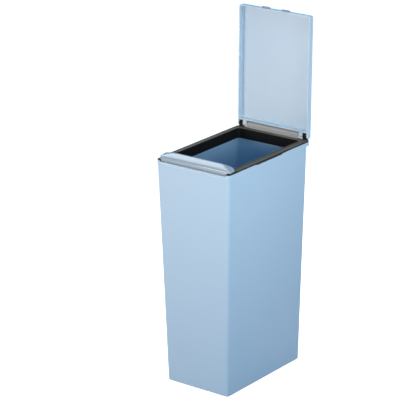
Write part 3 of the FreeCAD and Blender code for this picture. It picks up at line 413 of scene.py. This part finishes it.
# the bar's outline seen from above, drawn in by a distance: straight sides joined by quarter arcs whose
# radius shrinks with the distance, and past that their middles move in along the diagonal
def barOutline(low, high, inset, s):
    corners = [(high[0], low[1], s["frontCorner"], -90), (high[0], high[1], s["rearCorner"], 0),
               (low[0], high[1], s["rearCorner"], 90), (low[0], low[1], s["frontCorner"], 180)]
    middle = (low + high) / 2
    arcs = []
    for x, y, radius, start in corners:
        angle = np.radians(start + np.linspace(0, 90, s["cornerSteps"]))
        inwards = np.sign(middle[:2] - (x, y)) * max(radius, inset)
        spokes = np.stack([np.cos(angle), np.sin(angle)], axis=1)
        arcs.append((x, y) + inwards + max(radius - inset, 0) * spokes)
    endShares = np.linspace(0, 1, s["endSteps"] + 1)[:-1]
    # front and back alike, so they meet on the middle line
    longShares = barShares(high[0] - s["rearCorner"], s)
    sideShares = (endShares, longShares, endShares, longShares)
    runs = []
    for here, after, shares in zip(arcs, arcs[1:] + arcs[:1], sideShares):
        runs += [here[:-1], here[-1] + (after[0] - here[-1]) * shares[:, None]]
    return np.concatenate(runs)


# height of the bar's top: a plane that rises from the front ridge to the back, a shallow crown across
# it, and ends that fall with the square of the distance past the start of the roll
def barTop(x, y, low, high, s):
    share = (y - low[1]) / (high[1] - low[1])
    ridge = low[2] + s["skirt"] + s["ridge"]
    past = np.clip((np.abs(x) - high[0] + s["rollLength"]) / s["rollLength"], 0, 1)
    crown = s["crown"] * 4 * share * (1 - share)
    return ridge + share * (high[2] - ridge) + crown - s["rollDrop"] * share * past ** 2


# rows run from the middle of the top out over a rounded edge, down the outside, in under the lip at the
# back, down to the lower edge, in by the wall and back along the inside; the edge is a quarter ellipse
def touchBarGrid(low, high, s):
    halfDepth = (high[1] - low[1]) / 2
    x, y = barOutline(low, high, 0, s).T
    outerTop = barTop(x, y, low, high, s)
    atBack = y > high[1] - s["onLine"]
    atFront = y < low[1] + s["onLine"]
    atEnd = np.clip((np.abs(x) - high[0] + s["frontCorner"]) / s["frontCorner"], 0, 1)
    sideBase = low[2] + s["skirt"] + s["base"]
    base = np.where(atFront, low[2], sideBase)
    base = np.where(~atFront & (y < low[1] + s["frontCorner"]), base - s["foot"], base)
    roundAcross = s["edge"] + (s["endEdge"] - s["edge"]) * atEnd ** 2
    roundDown = np.minimum(roundAcross, outerTop - sideBase - s["edgeRoom"])
    nearLip = np.clip((s["lipHalf"] + s["lipFade"] - np.abs(x)) / s["lipFade"], 0, 1) * atBack
    roundDown = roundDown + (s["lipEdge"] - roundDown) * nearLip ** 2 * (3 - 2 * nearLip)
    lip = np.where(atBack & (np.abs(x) < s["lipHalf"]), s["lipDepth"], 0)

    def lowered(points, inset):
        slack = np.clip(1 - inset / roundAcross, 0, 1)
        top = barTop(points[:, 0], points[:, 1], low, high, s)
        return top - roundDown * (1 - np.sqrt(1 - slack ** 2))

    def row(points, level):
        return np.column_stack([points, level])

    # the inside stays a wall's thickness in front of the lip's undercut
    def drawnIn(inset):
        deep = barOutline(low, high, max(inset, s["lipDepth"] + s["wall"]), s)
        return np.where(lip[:, None] > 0, deep, barOutline(low, high, inset, s))

    rows = []
    for inset in halfDepth * (1 - np.sin(np.linspace(0, np.pi / 2, s["topRows"]))):
        points = barOutline(low, high, inset, s)
        rows.append(row(points, lowered(points, inset)))
    edgeLevel = rows[-1][:, 2]
    lipLevel = np.where(lip > 0, outerTop - s["lipThick"], (edgeLevel + base) / 2)
    lipLevel = np.minimum(lipLevel, edgeLevel - s["lipRoom"])
    lean = np.where(atFront, s["frontLean"], 0) / 2
    wallShares = np.linspace(0, 1, s["wallRows"])[1:]
    for share in wallShares:
        leaning = np.column_stack([x, y + share * lean])
        rows.append(row(leaning, edgeLevel + share * (lipLevel - edgeLevel)))
    underLip = np.column_stack([x, y + lean - lip])
    underTop = barTop(x, y - lip, low, high, s)
    underLevel = np.where(lip > 0, underTop - s["lipThick"], lipLevel)
    rows.append(row(underLip, underLevel))
    for share in wallShares:
        leaning = np.column_stack([x, underLip[:, 1] + share * lean])
        rows.append(row(leaning, underLevel + share * (base - underLevel)))
    rows.append(row(drawnIn(s["wall"]), base))
    for inset in np.linspace(s["wall"], halfDepth, s["innerRows"]):
        points = drawnIn(inset)
        ceiling = np.maximum(lowered(points, inset) - s["wall"], base + s["ceilingRoom"])
        rows.append(row(points, ceiling))
    return np.stack(rows)


barGrid = touchBarGrid(*boxOf("bar_shell"), touchBar)
bar = gridPiece("touchBar", [barGrid], "bar_plastic", "bar_shell", folded=True)
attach(bar, "bar_set")
print("touch bar shaped")

coverScrew = {
    "headRadius": 0.0024, "headHeight": 0.0012, "dome": 0.00035, "round": 0.0003,
    "shankRadius": 0.0011, "coreRadius": 0.0008, "threadPitch": 0.0009, "shankEnd": 0.0010,
    "tipStart": 0.0008, "tipRadius": 0.00005, "middleRadius": 0.00002,
    "slotHalf": 0.00032, "slotReach": 0.0015, "slotDepth": 0.0007,
    "slotSlope": 0.00012, "slotFade": 0.0005,
    "sides": 96, "headRows": 30, "roundRows": 6, "shankRows": 60, "tipRows": 6,
}


# cover screws: a profile turned about the screw's axis. The dome falls with the square of the distance
# from the axis; the cross lowers it within the slot's half width of either arm, less towards the arms'
# ends; the thread is a zigzag in the shank's radius that climbs one pitch a turn
def screwGrid(axisX, axisY, foot, top, s):
    angle = np.linspace(0, 2 * np.pi, s["sides"], endpoint=False)
    flat = s["headRadius"] - s["round"]
    seat = top - s["headHeight"]
    headOut = np.linspace(s["middleRadius"], flat, s["headRows"])
    corner = np.linspace(0, np.pi / 2, s["roundRows"] + 1)[1:]
    shank = np.linspace(seat, foot + s["shankEnd"], s["shankRows"])
    tip = np.linspace(s["coreRadius"], s["tipRadius"], s["tipRows"])
    reach = np.concatenate([headOut, flat + s["round"] * np.sin(corner), [s["headRadius"]],
                            np.full_like(shank, s["shankRadius"]), tip])
    level = np.concatenate([top - s["dome"] * (headOut / s["headRadius"]) ** 2,
                            top - s["dome"] - s["round"] * (1 - np.cos(corner)), [seat], shank,
                            np.linspace(foot + s["tipStart"], foot, s["tipRows"])])
    x = reach[:, None] * np.cos(angle)
    y = reach[:, None] * np.sin(angle)
    z = np.repeat(level[:, None], s["sides"], axis=1)
    isShank = np.zeros(len(reach), bool)
    isShank[len(headOut) + len(corner) + 1:-len(tip)] = True
    wave = np.abs(((z / s["threadPitch"] + angle / (2 * np.pi)) % 1) * 2 - 1)
    threadRadius = s["coreRadius"] + (s["shankRadius"] - s["coreRadius"]) * wave
    scale = np.where(isShank[:, None], threadRadius / s["shankRadius"], 1)
    x, y = x * scale, y * scale
    arm = np.minimum(np.abs(x), np.abs(y))
    length = np.maximum(np.abs(x), np.abs(y))
    inSlot = np.clip((s["slotHalf"] - arm) / s["slotSlope"] + 0.5, 0, 1)
    inSlot = inSlot * np.clip((s["slotReach"] - length) / s["slotFade"], 0, 1)
    isTop = np.arange(len(reach)) < len(headOut)
    z = z - np.where(isTop[:, None], s["slotDepth"] * inSlot, 0)
    return np.stack([axisX + x, axisY + y, z], axis=-1)


screwLow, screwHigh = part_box("cover_screws")
screwPlaces = [screwLow[0] + coverScrew["headRadius"], screwHigh[0] - coverScrew["headRadius"]]
screwMiddle = (screwLow[1] + screwHigh[1]) / 2
screwGrids = [screwGrid(place, screwMiddle, screwLow[2], screwHigh[2], coverScrew)
              for place in screwPlaces]
screws = gridPiece("coverScrews", screwGrids, "steel", "cover_screws")
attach(screws, "top_frame")
print("screws turned")

# floor and studio light, metres and watts, spreads in degrees
studio = {
    "floorSize": 14.0, "floorColour": (0.80, 0.80, 0.80), "floorShade": (0.788, 0.788, 0.788),
    "floorCloud": (3.0, 3.0), "floorRough": 0.7, "floorGlow": 0.92, "glowColour": (1.0, 0.94, 0.88),
    "worldColour": (0.22, 0.62, 1.0), "worldStrength": 0.44,
    "lights": {
        "keySoftbox": {"place": (-0.55, -1.50, 0.68), "aim": (0, 0, 0.62), "size": 0.7,
                       "power": 8.45, "colour": (1.0, 0.73, 0.56), "spread": 115},
        "frontSoftbox": {"place": (0.95, -1.27, 0.72), "aim": (0, 0, 0.62), "size": 0.5,
                         "power": 4.2, "colour": (0.94, 0.96, 0.81), "spread": 115},
        "sideSoftbox": {"place": (1.05, -0.10, 0.85), "aim": (0, 0, 0.70), "size": 0.7,
                        "power": 2.72, "colour": (0.96, 0.86, 0.78), "spread": 100},
        "backSoftbox": {"place": (-1.25, 0.60, 1.95), "aim": (0, 0, 0.55), "size": 0.8,
                        "power": 4.6, "colour": (0.93, 0.98, 1.0), "spread": 180},
        "topSoftbox": {"place": (0.15, -0.15, 2.30), "aim": (0, 0, 0.55), "size": 1.0,
                       "power": 6.0, "colour": (1.0, 0.97, 0.91), "spread": 120},
        "rearSoftbox": {"place": (-0.40, 1.60, 0.85), "aim": (0, 0, 0.62), "size": 0.8,
                        "power": 8.0, "colour": (1.0, 0.86, 0.74), "spread": 120},
        "leftSoftbox": {"place": (-1.40, 0.10, 0.75), "aim": (0, 0, 0.62), "size": 0.8,
                        "power": 5.0, "colour": (1.0, 0.90, 0.80), "spread": 120},
    },
}


def addFloor(s):
    half = s["floorSize"] / 2
    corners = [(-half, -half, 0), (half, -half, 0), (half, half, 0), (-half, half, 0)]
    mesh = bpy.data.meshes.new("floor")
    mesh.from_pydata(corners, [], [(0, 1, 2, 3)])
    floor = bpy.data.objects.new("floor", mesh)
    bpy.context.scene.collection.objects.link(floor)
    material, tree = newMaterial("paleFloor")
    coords = addNode(tree, "TexCoord").outputs["Object"]
    cloud = noise(tree, coords, *s["floorCloud"])
    shade = mixColours(tree, cloud, s["floorColour"], s["floorShade"])
    shader = addNode(tree, "BsdfPrincipled", {"Base Color": shade, "Roughness": s["floorRough"],
                                              "Emission Color": s["glowColour"] + (1,),
                                              "Emission Strength": s["floorGlow"]})
    addNode(tree, "OutputMaterial", {"Surface": shader.outputs[0]})
    mesh.materials.append(material)
    floor.visible_diffuse = False    # the floor's glow stays off the bin


def addLights(s):
    world = bpy.data.worlds.new("studio")
    world.use_nodes = True
    background = world.node_tree.nodes["Background"].inputs
    background["Color"].default_value = s["worldColour"] + (1,)
    background["Strength"].default_value = s["worldStrength"]
    bpy.context.scene.world = world
    for name, light in s["lights"].items():
        data = bpy.data.lights.new(name, "AREA")
        data.shape = "DISK"
        data.size = light["size"]
        data.energy = light["power"]
        data.color = light["colour"]
        data.spread = math.radians(light["spread"])
        lamp = bpy.data.objects.new(name, data)
        lamp.visible_camera = False
        lamp.location = light["place"]
        aim = Vector(light["aim"]) - lamp.location
        lamp.rotation_euler = aim.to_track_quat("-Z", "Y").to_euler()
        bpy.context.scene.collection.objects.link(lamp)


addFloor(studio)
addLights(studio)
bpy.context.scene.view_settings.view_transform = "Standard"
print("studio set")

# camera at the photograph's viewing angle, degrees and metres, lens and sensor in millimetres
photoView = {"azimuth": 37.65, "elevation": 19.21, "roll": -0.6, "distance": 5.1833,
             "target": (-0.0956, -0.0004, 0.4020), "lens": 201.1, "sensor": 36.0, "farClip": 60}


def addCamera(v):
    azimuth, elevation = math.radians(v["azimuth"]), math.radians(v["elevation"])
    back = Vector((math.sin(azimuth) * math.cos(elevation),
                   -math.cos(azimuth) * math.cos(elevation), math.sin(elevation)))
    data = bpy.data.cameras.new("photoCamera")
    data.lens = v["lens"]
    data.sensor_width = v["sensor"]
    data.clip_end = v["farClip"]
    camera = bpy.data.objects.new("photoCamera", data)
    turn = (-back).to_track_quat("-Z", "Y").to_matrix().to_4x4()
    place = Matrix.Translation(Vector(v["target"]) + back * v["distance"])
    camera.matrix_world = place @ turn @ Matrix.Rotation(math.radians(v["roll"]), 4, "Z")
    bpy.context.scene.collection.objects.link(camera)
    bpy.context.scene.camera = camera


addCamera(photoView)
print("camera set")
